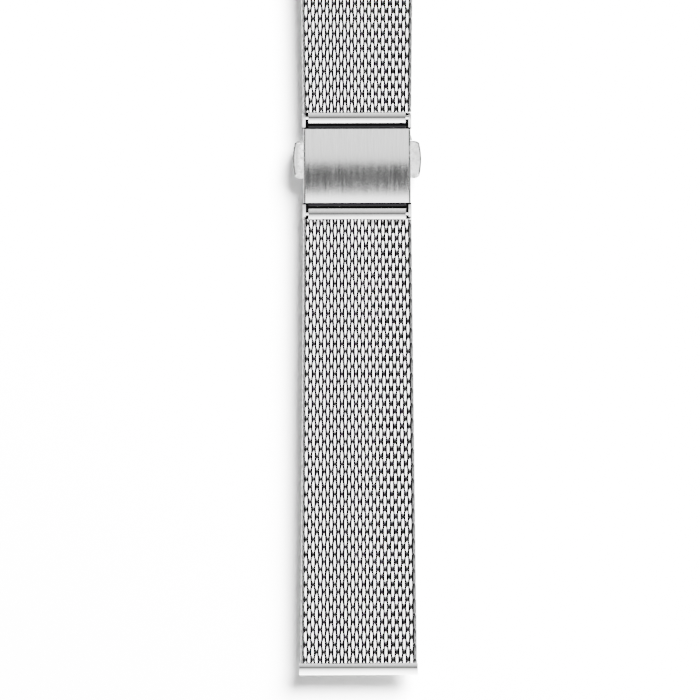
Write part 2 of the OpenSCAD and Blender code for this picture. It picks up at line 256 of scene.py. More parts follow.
def outward(piece):
    """Merges doubled points and turns all faces outwards"""
    pick_elements(piece, "VERT", lambda v: True)
    bpy.ops.mesh.remove_doubles(threshold=TOUCHING)
    bpy.ops.mesh.normals_make_consistent(inside=False)
    bpy.ops.object.mode_set(mode="OBJECT")


def shade(piece, angle=35):
    """Shades smooth with large faces kept flat, and edges sharper than an angle left hard"""
    pick(piece)
    bpy.ops.object.shade_smooth_by_angle(angle=math.radians(angle))
    even = piece.modifiers.new("even normals", "WEIGHTED_NORMAL")
    even.keep_sharp = True
    even.weight = 90
    apply_modifiers(piece)


def soften(piece, width, segments=2, angle=40):
    """Rounds the sharp edges of a piece"""
    bevel = piece.modifiers.new("soft edges", "BEVEL")
    bevel.width = width
    bevel.segments = segments
    bevel.limit_method = "ANGLE"
    bevel.angle_limit = math.radians(angle)
    bevel.use_clamp_overlap = True
    bevel.harden_normals = False
    apply_modifiers(piece)


def paint(piece, finish):
    """Gives a piece one finish alone"""
    piece.data.materials.clear()
    piece.data.materials.append(FINISHES[finish])


def dress(piece, node, slot, finish=None):
    """Gives a finished piece its finish, and the body of the node that it stands for"""
    paint(piece, finish or slot)
    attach(piece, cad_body(node))
    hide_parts(node)


def from_node(node, name):
    """A copy of a node's mesh with its flat faces whole, to be finished further"""
    pick(frame["nodes"][node])
    bpy.ops.object.duplicate()
    copy = named(name)
    bpy.ops.object.parent_clear(type="CLEAR_KEEP_TRANSFORM")
    settle(copy)
    pick_elements(copy, "VERT", lambda v: True)
    bpy.ops.mesh.remove_doubles(threshold=0.001 * MM)
    bpy.ops.mesh.dissolve_limited(angle_limit=math.radians(0.5))
    bpy.ops.object.mode_set(mode="OBJECT")
    return copy


def add_box(name, low, high):
    """A box between two corners, ready to be shaped"""
    deselect()
    low, high = Vector(low), Vector(high)
    bpy.ops.mesh.primitive_cube_add(size=1, location=(low + high) / 2)
    made = named(name)
    made.scale = high - low
    settle(made)
    return made


def cut(piece, place, side):
    """Cuts a piece square at a place, takes away what lies to a side and closes the cut"""
    pick_elements(piece, "FACE", lambda f: True)
    bpy.ops.mesh.bisect(
        plane_co=place, plane_no=side, use_fill=True, clear_outer=True, threshold=0.0002 * MM
    )
    bpy.ops.object.mode_set(mode="OBJECT")


def score(piece, place):
    """Scores a line across a piece at a place along the band"""
    pick_elements(piece, "FACE", lambda f: True)
    bpy.ops.mesh.bisect(plane_co=(0, place, 0), plane_no=(0, 1, 0))
    bpy.ops.object.mode_set(mode="OBJECT")


# Surface effects that several finishes share

# Grain of the effects, in waves per metre along each axis
PATCHES = (160, 60, 160)
SMUDGES = (220, 260, 220)
WORN_SPOTS = (1500, 1500, 1500)
HAIRLINES = ((0.5, (5200, 180, 700)), (-0.9, (4300, 150, 600)))  # each after its own turn

# Where an effect begins to show, and where it shows in full
STROKE_RANGE = (0.3, 0.7)
SMUDGE_RANGE = (0.35, 0.75)
HAIRLINE_RANGE = (0.72, 0.78)
EDGE_RANGE = (0.51, 0.6)
SPOT_RANGE = (0.3, 0.6)

PATCH_SHARE = 0.08  # how much of the brushing's shade comes from its wide patches


def link(tree, *ends):
    """Joins pairs of sockets"""
    for source, target in ends:
        tree.links.new(source, target)


def new_group(name, inputs, outputs):
    """An empty effect with its sockets"""
    group = bpy.data.node_groups.new(name, "ShaderNodeTree")
    for label, kind, default in inputs:
        socket = group.interface.new_socket(label, in_out="INPUT", socket_type=kind)
        if default is not None:
            socket.default_value = default
    for label, kind in outputs:
        group.interface.new_socket(label, in_out="OUTPUT", socket_type=kind)
    return group, group.nodes.new("NodeGroupInput"), group.nodes.new("NodeGroupOutput")


def noise(tree, vector, stretch, detail=3.0, roughness=0.55):
    """Noise stretched along chosen axes, in waves per metre"""
    mapping = tree.nodes.new("ShaderNodeMapping")
    texture = tree.nodes.new("ShaderNodeTexNoise")
    texture.inputs["Scale"].default_value = 1.0
    texture.inputs["Detail"].default_value = detail
    texture.inputs["Roughness"].default_value = roughness
    if isinstance(stretch, bpy.types.NodeSocket):
        link(tree, (stretch, mapping.inputs["Scale"]))
    else:
        mapping.inputs["Scale"].default_value = stretch
    link(tree, (vector, mapping.inputs["Vector"]), (mapping.outputs[0], texture.inputs["Vector"]))
    return texture.outputs[0]


def ramp(tree, value, low, high, to_low=0.0, to_high=1.0):
    """A value spread from one range to another"""
    spread = tree.nodes.new("ShaderNodeMapRange")
    for socket, number in zip(spread.inputs[1:5], (low, high, to_low, to_high)):
        socket.default_value = number
    link(tree, (value, spread.inputs[0]))
    return spread.outputs[0]


def blend_colours(tree, mask, first, second):
    """Two colours mixed by a mask; a colour may be a socket"""
    mix = tree.nodes.new("ShaderNodeMix")
    mix.data_type = "RGBA"
    link(tree, (mask, mix.inputs[0]))
    for socket, colour in ((mix.inputs[6], first), (mix.inputs[7], second)):
        if isinstance(colour, bpy.types.NodeSocket):
            link(tree, (colour, socket))
        else:
            socket.default_value = (*colour, 1.0)
    return mix.outputs[2]


def total(tree, kind, first, *others):
    """Values put together one after another by a sum, a product or the like"""
    for other in others:
        sum_up = tree.nodes.new("ShaderNodeMath")
        sum_up.operation = kind
        for socket, value in zip(sum_up.inputs, (first, other)):
            if isinstance(value, bpy.types.NodeSocket):
                link(tree, (value, socket))
            else:
                socket.default_value = value
        first = sum_up.outputs[0]
    return first


def make_brushing():
    """Fine parallel strokes: a shade from stroke to stroke and their height"""
    group, taken, given = new_group(
        "brushing",
        (("Vector", "NodeSocketVector", None), ("Strokes", "NodeSocketVector", (1, 1, 1))),
        (("Shade", "NodeSocketFloat"), ("Height", "NodeSocketFloat")),
    )
    place = taken.outputs["Vector"]
    strokes = noise(group, place, taken.outputs["Strokes"], detail=5.0, roughness=0.75)
    patches = noise(group, place, PATCHES, detail=2.0)
    fine = total(group, "MULTIPLY", strokes, 1 - PATCH_SHARE)
    wide = total(group, "MULTIPLY", patches, PATCH_SHARE)
    tone = ramp(group, total(group, "ADD", fine, wide), *STROKE_RANGE)
    link(group, (tone, given.inputs["Shade"]), (strokes, given.inputs["Height"]))
    return group


def make_handling():
    """Smudges and hairline scratches from use"""
    group, taken, given = new_group(
        "handling",
        (("Vector", "NodeSocketVector", None), ("Amount", "NodeSocketFloat", 0.5)),
        (("Smudge", "NodeSocketFloat"), ("Scratch", "NodeSocketFloat")),
    )
    place = taken.outputs["Vector"]
    smudge = ramp(group, noise(group, place, SMUDGES, detail=4.0), *SMUDGE_RANGE)
    hairs = []
    for turned, stretch in HAIRLINES:
        turn = group.nodes.new("ShaderNodeVectorRotate")
        turn.rotation_type = "Z_AXIS"
        turn.inputs["Angle"].default_value = turned
        link(group, (place, turn.inputs["Vector"]))
        hair = noise(group, turn.outputs[0], stretch, detail=1.0)
        hairs.append(ramp(group, hair, *HAIRLINE_RANGE))
    for name, mask in (("Smudge", smudge), ("Scratch", total(group, "MAXIMUM", *hairs))):
        shown = total(group, "MULTIPLY", mask, taken.outputs["Amount"])
        link(group, (shown, given.inputs[name]))
    return group


def make_edge_rub():
    """Where a piece's edges are rubbed bright"""
    group, taken, given = new_group(
        "edge_rub",
        (("Vector", "NodeSocketVector", None), ("Amount", "NodeSocketFloat", 0.5)),
        (("Rub", "NodeSocketFloat"),),
    )
    form = group.nodes.new("ShaderNodeNewGeometry")
    edge = ramp(group, form.outputs["Pointiness"], *EDGE_RANGE)
    spots = noise(group, taken.outputs["Vector"], WORN_SPOTS, detail=3.0)
    broken = ramp(group, spots, *SPOT_RANGE)
    rub = total(group, "MULTIPLY", edge, broken, taken.outputs["Amount"])
    link(group, (rub, given.inputs["Rub"]))
    return group


# Finishes

STROKE_DIM = 0.75  # colour of the darkest strokes, as a share of the steel's
WIRE_DIM = 0.86  # the same on the wire
RUBBED_STEEL = (0.95, 0.95, 0.95)
EDGE_RUB = 0.6

# Where the wire comes out of its painted shade and is bright steel in full, and where the painted
# shade on its flanks goes from the deep shade to the lighter flank shade: 1 is level with the
# band's faces
CROWN = (0.985, 0.998)
FLANK = (0.3, 0.7)

# The painted shade in the gaps beside the cover: how softly it ends, how far it reaches under the
# cover's edge and out from it, and its heights round the clasp bars
SHADE_FADE = 0.03 * MM
GAP_UNDER, GAP_OUT = 0.3 * MM, 3.4 * MM
PLATE_BELOW, PLATE_ABOVE = 0.5 * MM, 0.2 * MM
CATCH_BELOW = 0.9 * MM


def dimmed(colour, share):
    """A colour made darker all over"""
    return tuple(part * share for part in colour)


class Finish:
    """One steel finish, put together from the shared effects"""

    def __init__(self, name, roughness):
        self.material = bpy.data.materials.new(name)
        self.material.use_nodes = True
        self.tree = self.material.node_tree
        self.shader = self.tree.nodes["Principled BSDF"]
        self.shader.inputs["Metallic"].default_value = 1.0
        self.roughness = roughness
        self.place = self.tree.nodes.new("ShaderNodeTexCoord").outputs["Object"]

    def effect(self, name, **values):
        """Places a shared effect with its own values"""
        node = self.tree.nodes.new("ShaderNodeGroup")
        node.node_tree = EFFECTS[name]
        link(self.tree, (self.place, node.inputs["Vector"]))
        for label, value in values.items():
            node.inputs[label].default_value = value
        return node.outputs

    def colour(self, source):
        """The steel's colour all over"""
        link(self.tree, (source, self.shader.inputs["Base Color"]))

    def roughen(self, mask, more):
        """Roughness that grows with a mask"""
        spread = ramp(self.tree, mask, 0.0, 1.0, self.roughness, self.roughness + more)
        link(self.tree, (spread, self.shader.inputs["Roughness"]))

    def raise_surface(self, height, depth):
        """Fine relief, its depth in millimetres"""
        bump = self.tree.nodes.new("ShaderNodeBump")
        bump.inputs["Distance"].default_value = depth * MM
        link(
            self.tree,
            (height, bump.inputs["Height"]),
            (bump.outputs[0], self.shader.inputs["Normal"]),
        )


def steel(name, colour, strokes, roughness, depth, smudge):
    """A steel finish: brushing of its own fineness, smudges, scratches and rubbed edges"""
    finish = Finish(name, roughness)
    tree = finish.tree
    brushing = finish.effect("brushing", Strokes=strokes)
    handling = finish.effect("handling", Amount=smudge)
    rub = finish.effect("edge_rub", Amount=EDGE_RUB)
    brushed = blend_colours(tree, brushing["Shade"], dimmed(colour, STROKE_DIM), colour)
    finish.colour(blend_colours(tree, rub["Rub"], brushed, RUBBED_STEEL))
    dull = total(tree, "MAXIMUM", handling["Smudge"], brushing["Shade"])
    finish.roughen(dull, more=0.1)
    relief = total(tree, "SUBTRACT", brushing["Height"], handling["Scratch"])
    finish.raise_surface(relief, depth)
    return finish.material


def add_painted_shade(finish, mask, colour):
    """Lays painted shade over a finish where a mask shows it"""
    tree = FINISHES[finish].node_tree
    surface = tree.nodes["Principled BSDF"].inputs["Base Color"]
    bare = surface.links[0].from_socket
    link(tree, (blend_colours(tree, mask, bare, colour), surface))


def add_groove_shade(finish, colour):
    """Paints shade in the bottom of an engraved groove"""
    groove = FINISHES[finish].node_tree.nodes.new("ShaderNodeAttribute")
    groove.attribute_name = "groove"
    add_painted_shade(finish, groove.outputs["Fac"], colour)


def add_gap_shade(finish, gaps, colour):
    """Paints shade on what lies deep in the gaps beside the cover"""
    tree = FINISHES[finish].node_tree
    parts = tree.nodes.new("ShaderNodeSeparateXYZ")
    link(tree, (tree.nodes.new("ShaderNodeTexCoord").outputs["Object"], parts.inputs[0]))
    along, height = parts.outputs["Y"], parts.outputs["Z"]
    gap_shades = [
        total(
            tree,
            "MULTIPLY",
            ramp(tree, along, low.y - SHADE_FADE, low.y + SHADE_FADE),
            ramp(tree, along, high.y + SHADE_FADE, high.y - SHADE_FADE),
            ramp(tree, height, high.z, high.z - SHADE_FADE),
            ramp(tree, height, low.z - SHADE_FADE, low.z),
        )
        for low, high in gaps
    ]
    add_painted_shade(finish, total(tree, "MAXIMUM", *gap_shades), colour)


def woven_steel(colours):
    """The wire: bright where it is pressed flat, with painted shade on its flanks and deep between
    the turns
    """
    finish = Finish("woven wire", 0.16)
    tree = finish.tree
    # The depth attribute sets the painted shade: bare bright steel on the crowns, painted flank
    # shade on the sides, painted deep shade between the turns
    depth = tree.nodes.new("ShaderNodeAttribute")
    depth.attribute_name = "depth"
    crown = ramp(tree, depth.outputs["Fac"], *CROWN)
    flank_shade = ramp(tree, depth.outputs["Fac"], *FLANK)
    brushing = finish.effect("brushing", Strokes=(900, 2600, 900))
    handling = finish.effect("handling", Amount=0.6)
    worn = dimmed(colours.bright, WIRE_DIM)
    wire = blend_colours(tree, brushing["Shade"], worn, colours.bright)
    shaded = blend_colours(tree, flank_shade, colours.deep_shade, colours.flank_shade)
    finish.colour(blend_colours(tree, crown, shaded, wire))
    finish.roughen(handling["Smudge"], more=0.16)
    finish.raise_surface(brushing["Height"], depth=0.004)
    return finish.material


class MESHBAND_OT_finishes(bpy.types.Operator):
    """Makes the shared effects and the steel finishes"""

    bl_idname = "meshband.finishes"
    bl_label = "Finishes"

    def execute(self, context):
        colours = context.scene.band_finish
        EFFECTS["brushing"] = make_brushing()
        EFFECTS["handling"] = make_handling()
        EFFECTS["edge_rub"] = make_edge_rub()
        FINISHES["mesh_wire"] = woven_steel(colours)
        # Strokes in waves per metre, roughness, depth of the relief in millimetres, smudges
        for name, colour, *look in (
            ("polished_bar", colours.bright, (300, 5200, 5200), 0.13, 0.001, 0.3),
            ("brushed_cover", colours.satin, (4200, 150, 900), 0.16, 0.007, 0.12),
            ("polished_button", colours.button, (900, 5200, 900), 0.17, 0.0012, 0.4),
            # dark_box: the steel inside the clasp, darkened as painted shade
            ("dark_box", colours.dull, (2600, 2600, 2600), 0.38, 0.003, 0.5),
            ("satin_blade", colours.satin, (8000, 500, 900), 0.28, 0.004, 0.5),
            # satin_arm is satin_blade with painted shade added in the gaps beside the cover
            ("satin_arm", colours.satin, (8000, 500, 900), 0.28, 0.004, 0.5),
            ("turned_pin", colours.bright, (14000, 700, 700), 0.18, 0.001, 0.5),
            ("spring_wire", colours.satin, (5200, 5200, 5200), 0.2, 0.0008, 0.5),
        ):
            FINISHES[name] = steel(name.replace("_", " "), colour, *look)
        # Painted shade in the fine grooves
        for name in ("polished_button", "polished_bar"):
            add_groove_shade(name, colours.groove)
        # Painted shade deep in the gaps beside the cover: on the arms' plates round the clasp
        # bars' underside, and on the catch plates and box below the bars' tops
        bar_low, bar_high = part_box("upper_clasp_bar")
        plates = self.gaps(bar_low[2] - PLATE_BELOW, bar_low[2] + PLATE_ABOVE)
        add_gap_shade("satin_arm", plates, colours.shade)
        catches = self.gaps(bar_high[2] - CATCH_BELOW, bar_high[2])
        add_gap_shade("dark_box", catches, colours.deep_shade)
        return {"FINISHED"}

    def gaps(self, bottom, top):
        """The two gaps beside the cover plate, between two heights"""
        cover_low, cover_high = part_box("cover_plate")
        rooms = []
        for side, edge in ((1, cover_high[1]), (-1, cover_low[1])):
            near, far = sorted((edge - side * GAP_UNDER, edge + side * GAP_OUT))
            rooms.append((Vector((0, near, bottom)), Vector((0, far, top))))
        return rooms


# The woven straps


class Strap:
    """Where the rows of one strap lie, read from its nodes"""

    def __init__(self, name, side, parts, pitch):
        self.side, self.parts = side, parts
        boxes = [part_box(f"{name}_mesh_{i}") for i in range(1, parts + 1)]
        edge = 0 if side > 0 else 1
        self.start = boxes[0][edge][1]
        self.end = boxes[-1][1 - edge][1]
        self.mid_z = (boxes[-1][0][2] + boxes[-1][1][2]) / 2
        self.half_t = (boxes[-1][1][2] - boxes[-1][0][2]) / 2
        length = abs(self.end - self.start)
        self.rows = int(length / pitch + 0.5)
        self.pitch = length / self.rows
        near_w = boxes[0][1][0] - boxes[0][0][0]
        self.far_w = boxes[-1][1][0] - boxes[-1][0][0]
        last_near = self.first_row(2) - 1
        self.taper = (self.far_w - near_w) / (self.rows - 1 - last_near)

    def first_row(self, part):
        """The row that a part begins with"""
        return int((part - 1) * self.rows / self.parts + 0.5)

    def middle_row(self, part):
        """The boundary between rows that lies nearest the middle of a part"""
        return (self.first_row(part) + self.first_row(part + 1)) // 2

    def along(self, row):
        """Place along the band of a boundary between rows"""
        return self.start + self.side * row * self.pitch

    def width(self, row):
        """Width of the band at a row"""
        return self.far_w - self.taper * (self.rows - 1 - row)


# Advance, reach and height of the wire, as shares, from a crown to the side of a turn
QUARTER = (
    (0.0, 0.0, 1.0),
    (0.0, 0.45, 0.977),
    (0.0, 0.8, 0.927),
    (0.1, 0.955, 0.78),
    (1.0, 1.0, 0.0),
)
STEPS = len(QUARTER) - 1
EDGE_TURN = 0.88  # height of the outermost turns, as a share of the others'
INSET = 0.01 * MM  # how far the weave stays inside its outline

# What counts as the band's rim, as its edge loops and as the turns' tips, and how deep each is
# noted for the
# painted shade: the rim takes the flanks' painted shade, the loops little of it, the tips darker
# towards their ends
RIM, RIM_DEPTH = 0.07 * MM, 0.93
LOOP, LOOP_DEPTH = 0.3 * MM, 0.994
TIP, TIP_SHADE = 0.7, 0.7

# How far a row strays from its place, in millimetres and in radians
STRAY, STRAY_TURN = 0.012, 0.0012
STRAY_SEED = 7


def wire_turn(step):
    """Advance in quarter turns, reach and height of the wire, in steps from a crown"""
    quarter, part = divmod(step, STEPS)
    if quarter % 2 == 0:
        advance, reach, height = QUARTER[part]
        advance = quarter + advance
    else:
        advance, reach, height = QUARTER[STEPS - part]
        advance = quarter + 1 - advance
    across = 1 if quarter % 4 in (0, 1) else -1
    above = 1 if quarter % 4 in (0, 3) else -1
    return advance, across * reach, above * height


def coil_points(weave, width, half_t, late):
    """The wire's centre line for one row, the late one half a turn on"""
    turn = width / weave.turns
    high = half_t + weave.press - weave.wire_d / 2
    edge = width / 2 - weave.wire_d / 2 - INSET
    first = -3 * STEPS if late else -STEPS
    points = []
    for step in range(first, first + 4 * STEPS * weave.turns + 1):
        advance, reach, height = wire_turn(step)
        place = (3 if late else 1) + advance
        if place < 2 or place > 4 * weave.turns - 2:
            crown = 1 if place < 2 else 4 * weave.turns - 1
            place = crown + math.copysign(abs(reach), place - crown)
        x = -width / 2 + turn * place / 4
        lower = EDGE_TURN if abs(x) > edge - turn / 6 else 1.0
        x = max(-edge, min(edge, x))
        points.append((x, weave.reach * reach, high * height * lower))
    return points


def make_coil(name, weave, width, half_t, late):
    """One row's wire at the origin, its crowns pressed flat"""
    curve = bpy.data.curves.new(name, "CURVE")
    curve.dimensions = "3D"
    curve.bevel_depth = weave.wire_d / 2
    curve.bevel_resolution = 2
    curve.use_fill_caps = True
    points = coil_points(weave, width, half_t, late)
    spline = curve.splines.new("POLY")
    spline.points.add(len(points) - 1)
    for point, place in zip(spline.points, points):
        point.co = (*place, 1.0)
    coil = bpy.data.objects.new(name, curve)
    bpy.context.collection.objects.link(coil)
    pick(coil)
    bpy.ops.object.convert(target="MESH")
    coil = named(name)
    outward(coil)
    for up in (1, -1):
        cut(coil, (0, 0, up * half_t), (0, 0, up))
    pick(coil)
    bpy.ops.object.shade_smooth()
    pick_elements(coil, "FACE", lambda f: abs(f.normal.z) > 0.999)
    bpy.ops.mesh.region_to_loop()
    bpy.ops.mesh.mark_sharp()
    bpy.ops.object.mode_set(mode="OBJECT")
    note_painted_shade(coil, weave, width, half_t)
    return coil


def note_painted_shade(coil, weave, width, half_t):
    """Keeps how near each point lies to the band's faces, which sets the painted shade between the
    wires
    """
    depth = coil.data.attributes.new("depth", "FLOAT", "POINT")
    for point, note in zip(coil.data.vertices, depth.data):
        note.value = abs(point.co.z) / half_t
        if abs(point.co.x) > width / 2 - RIM:
            note.value = RIM_DEPTH
        elif abs(point.co.x) > width / 2 - LOOP:
            note.value = max(note.value, LOOP_DEPTH)
        elif note.value < CROWN[0]:
            tip = (abs(point.co.y) / weave.reach - TIP) / (1 - TIP)
            note.value *= 1 - TIP_SHADE * max(0.0, min(1.0, tip))


def lay_rows(strap, coils, first, last, stray):
    """Copies of the two coils, one at each row's place, joined to one piece"""
    rows = []
    for row in range(first, last):
        pick(coils[row % 2])
        bpy.ops.object.duplicate()
        copy = bpy.context.object
        place = strap.along(row + 0.5) + stray.uniform(-STRAY, STRAY) * MM
        copy.location = (0, place, strap.mid_z)
        copy.rotation_euler = (0, 0, stray.uniform(-STRAY_TURN, STRAY_TURN))
        copy.scale = (strap.width(row) / strap.far_w, 1, 1)
        rows.append(copy)
    for copy in rows:
        settle(copy)
    pick(*rows)
    bpy.ops.object.join()
    return bpy.context.object


class MESHBAND_OT_weave(bpy.types.Operator):
    """Weaves both straps, in pieces split at the middle of each mesh part"""

    bl_idname = "meshband.weave"
    bl_label = "Woven straps"

    def execute(self, context):
        weave = context.scene.band_weave
        stray = random.Random(STRAY_SEED)
        for name, side, parts in (("upper", 1, 5), ("lower", -1, 7)):
            strap = Strap(name, side, parts, weave.row_pitch)
            coils = [
                make_coil(f"{name}_row_{late}", weave, strap.far_w, strap.half_t, late)
                for late in (False, True)
            ]
            for part in range(1, parts):
                first = -1 if part == 1 else strap.middle_row(part)
                last = strap.rows + 1 if part == parts - 1 else strap.middle_row(part + 1)
                piece = lay_rows(strap, coils, first, last, stray)
                piece.name = piece.data.name = f"{name}_weave_{part}"
                if part == 1:
                    cut(piece, (0, strap.start + side * INSET, 0), (0, -side, 0))
                if part == parts - 1:
                    cut(piece, (0, strap.end - side * INSET, 0), (0, side, 0))
                paint(piece, "mesh_wire")
                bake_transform(piece)
                nodes = [f"{name}_mesh_{part}"]
                if part == parts - 1:
                    nodes.append(f"{name}_mesh_{parts}")
                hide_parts(*nodes)
            pick(*coils)
            bpy.ops.object.delete()
        return {"FINISHED"}


# The clasp's outside

# Width of the rounded edges on the yokes, the heads and the blades, as shares of the soft edge
YOKE_EDGE, HEAD_EDGE, BLADE_EDGE = 0.6, 0.5, 0.7

# The cover: what is spun past each end before it is cut, in radians, and its bevel's width
# and the rise of the bevel's lower edge, in sizes of the bevel
COVER_SPARE = 0.04
BEVEL_W, BEVEL_RISE = 1.5, 0.6

# The ridged bars: their facet and chamfer, then half the width of the ridge's groove, how
# far beside its middle and below the top it is given painted shade, and its depth
FACET_LIFT = 0.27 * MM
CHAMFER = 0.3 * MM
RIDGE_W, RIDGE_DARK, RIDGE_BELOW, RIDGE_DEPTH = 0.1 * MM, 0.09 * MM, 0.08 * MM, 0.06 * MM

# The push-buttons: how far under the cover's side the yoke is cut and the head begins, the
# stages of the head's bulge, the top's height as a share of the crown, and the groove round
# the top with the height up to which it is given painted shade
NECK_IN, HEAD_IN = 0.5 * MM, 0.55 * MM
BULGE_STAGES = 12
TOP_RISE = 0.9
GROOVE_W, GROOVE_DEPTH, GROOVE_DARK = 0.07 * MM, 0.06 * MM, 0.008 * MM


class MESHBAND_OT_cover(bpy.types.Operator):
    """Makes the arched, brushed cover plate"""

    bl_idname = "meshband.cover"
    bl_label = "Cover plate"

    def execute(self, context):
        clasp = context.scene.band_clasp
        low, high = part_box("cover_plate")
        centre = Vector((0, (low[1] + high[1]) / 2, high[2] - clasp.cover_arch_r))
        half_l = (high[1] - low[1]) / 2
        reach = math.asin(half_l / clasp.cover_arch_r) + COVER_SPARE
        bottom = high[2] - clasp.cover_t
        deselect()
        bpy.ops.mesh.primitive_plane_add(size=1, rotation=(math.pi / 2, 0, 0))
        plate = named("cover")
        plate.scale = (high[0] - low[0], clasp.cover_t, 1)
        plate.location = (0, centre.y, high[2] - clasp.cover_t / 2)
        settle(plate)
        pick_elements(plate, "VERT", lambda v: v.co.z > high[2] - CLOSE)
        bpy.ops.mesh.bevel(offset=clasp.cover_bevel * BEVEL_W, affect="VERTICES")
        bpy.ops.object.mode_set(mode="OBJECT")
        pick_elements(plate, "VERT", lambda v: bottom + CLOSE < v.co.z < high[2] - CLOSE)
        bpy.ops.transform.translate(value=(0, 0, clasp.cover_bevel * BEVEL_RISE))
        pick_elements(plate, "VERT", lambda v: True)
        bpy.ops.transform.rotate(
            value=reach, orient_axis="X", orient_type="GLOBAL", center_override=centre
        )
        bpy.ops.object.mode_set(mode="OBJECT")
        way = -1 if plate.data.vertices[0].co.y > centre.y else 1
        pick_elements(plate, "VERT", lambda v: True)
        bpy.ops.mesh.spin(
            steps=56, angle=2 * reach, center=centre, axis=(way, 0, 0), use_auto_merge=False
        )
        bpy.ops.object.mode_set(mode="OBJECT")
        outward(plate)
        for side in (1, -1):
            cut(plate, (0, centre.y + side * half_l, 0), (0, side, 0))
        soften(plate, clasp.soft_edge, segments=3, angle=22)
        outward(plate)
        shade(plate, 40)
        dress(plate, "cover_plate", "brushed_cover")
        return {"FINISHED"}


class MESHBAND_OT_bars(bpy.types.Operator):
    """Finishes the ridged bars at the straps' ends"""

    bl_idname = "meshband.bars"
    bl_label = "Ridged bars"

    def execute(self, context):
        width = context.scene.band_clasp.soft_edge
        for node in ("upper_clasp_bar", "lower_clasp_bar", "upper_lug_bar", "lower_lug_bar"):
            bar = from_node(node, node.replace("_bar", "_ridge_bar"))
            away = 1 if "upper" in node else -1
            if "lug" in node:
                self.outer_chamfer(bar, away)
                self.flatten_facet(bar, -away)
            else:
                self.flatten_facet(bar, away)
            soften(bar, width, segments=2, angle=25)
            self.ridge_line(bar)
            shade(bar, 35)
            dress(bar, node, "polished_bar")
        return {"FINISHED"}

    def top_edge(self, bar, side):
        """A test for places on a bar's top edge at one side"""
        outer = max(side * point.co.y for point in bar.data.vertices)
        middle = sum(point.co.z for point in bar.data.vertices) / len(bar.data.vertices)
        return lambda place: side * place.y > outer - CLOSE and place.z > middle

    def flatten_facet(self, bar, side):
        """Lifts the top edge on the mesh's side, so that the facet there lies flatter"""
        on_edge = self.top_edge(bar, side)
        for point in bar.data.vertices:
            if on_edge(point.co):
                point.co.z += FACET_LIFT

    def ridge_line(self, bar):
        """Cuts a fine groove along the ridge on a bar's top"""
        top = max(point.co.z for point in bar.data.vertices)
        ridge = [point.co.y for point in bar.data.vertices if point.co.z > top - TOUCHING]
        middle = (min(ridge) + max(ridge)) / 2
        for place in (middle - RIDGE_W, middle + RIDGE_W):
            score(bar, place)
        # Marks the groove's bottom for painted shade
        groove = bar.data.attributes.new("groove", "FLOAT", "POINT")
        for point, note in zip(bar.data.vertices, groove.data):
            beside = abs(point.co.y - middle)
            if point.co.z > top - RIDGE_BELOW and beside < RIDGE_DARK:
                note.value = 1.0
                if beside < CLOSE:
                    point.co.z -= RIDGE_DEPTH

    def outer_chamfer(self, bar, side):
        """Takes down the top edge on the side that faces away from the mesh"""
        on_edge = self.top_edge(bar, side)
        pick_elements(
            bar, "EDGE", lambda e: all(on_edge(bar.data.vertices[i].co) for i in e.vertices)
        )
        bpy.ops.mesh.bevel(offset=CHAMFER, segments=1)
        bpy.ops.object.mode_set(mode="OBJECT")


